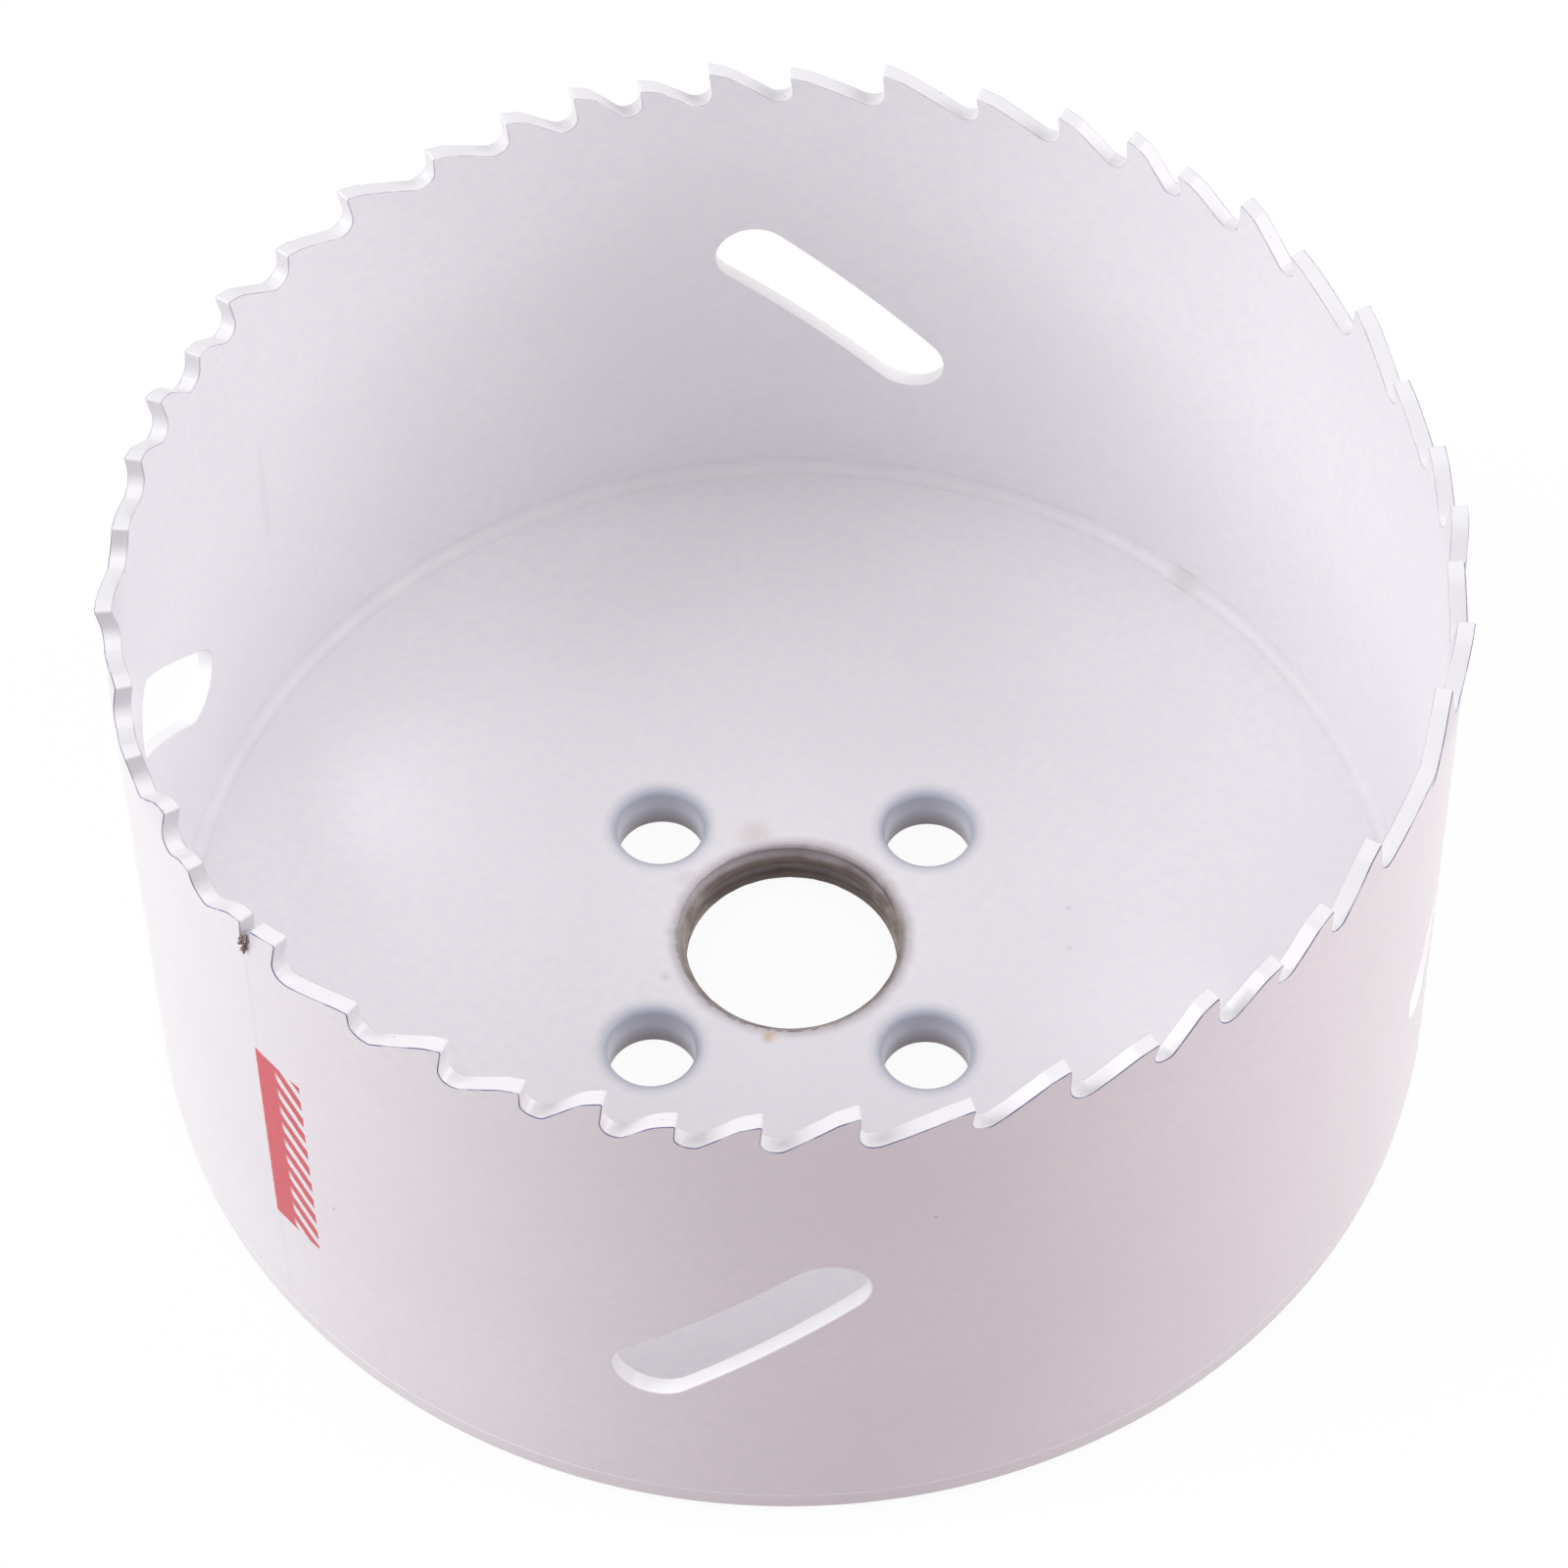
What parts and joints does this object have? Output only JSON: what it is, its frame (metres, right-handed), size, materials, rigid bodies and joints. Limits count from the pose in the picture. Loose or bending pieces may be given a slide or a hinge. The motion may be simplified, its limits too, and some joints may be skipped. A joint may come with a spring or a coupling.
{
  "type": "hole saw",
  "caption": "Bi-metal hole saw cup, standing on its backing plate: toothed strip wall with slanted chip slots, threaded centre bore and drive-pin holes.",
  "frame": {"origin": "on the saw's axis, in the plane of the backing plate's outer face that it stands on", "axes": "+Z along the axis, from the backing plate towards the teeth; +X and +Y lie midway between the drive-pin holes"},
  "size_m": [0.0826, 0.0824, 0.0424],
  "materials": {
    "white_paint_band": "smooth satin-gloss white paint over steel",
    "white_paint_plate": "smooth satin-gloss white paint, bare dark steel in the threaded bore",
    "white_paint_weld": "satin white paint over a weld bead"
  },
  "bodies": {
    "root": {"toothed_band": "white_paint_band", "backing_plate": "white_paint_plate", "corner_weld": "white_paint_weld"}
  },
  "joints": []
}
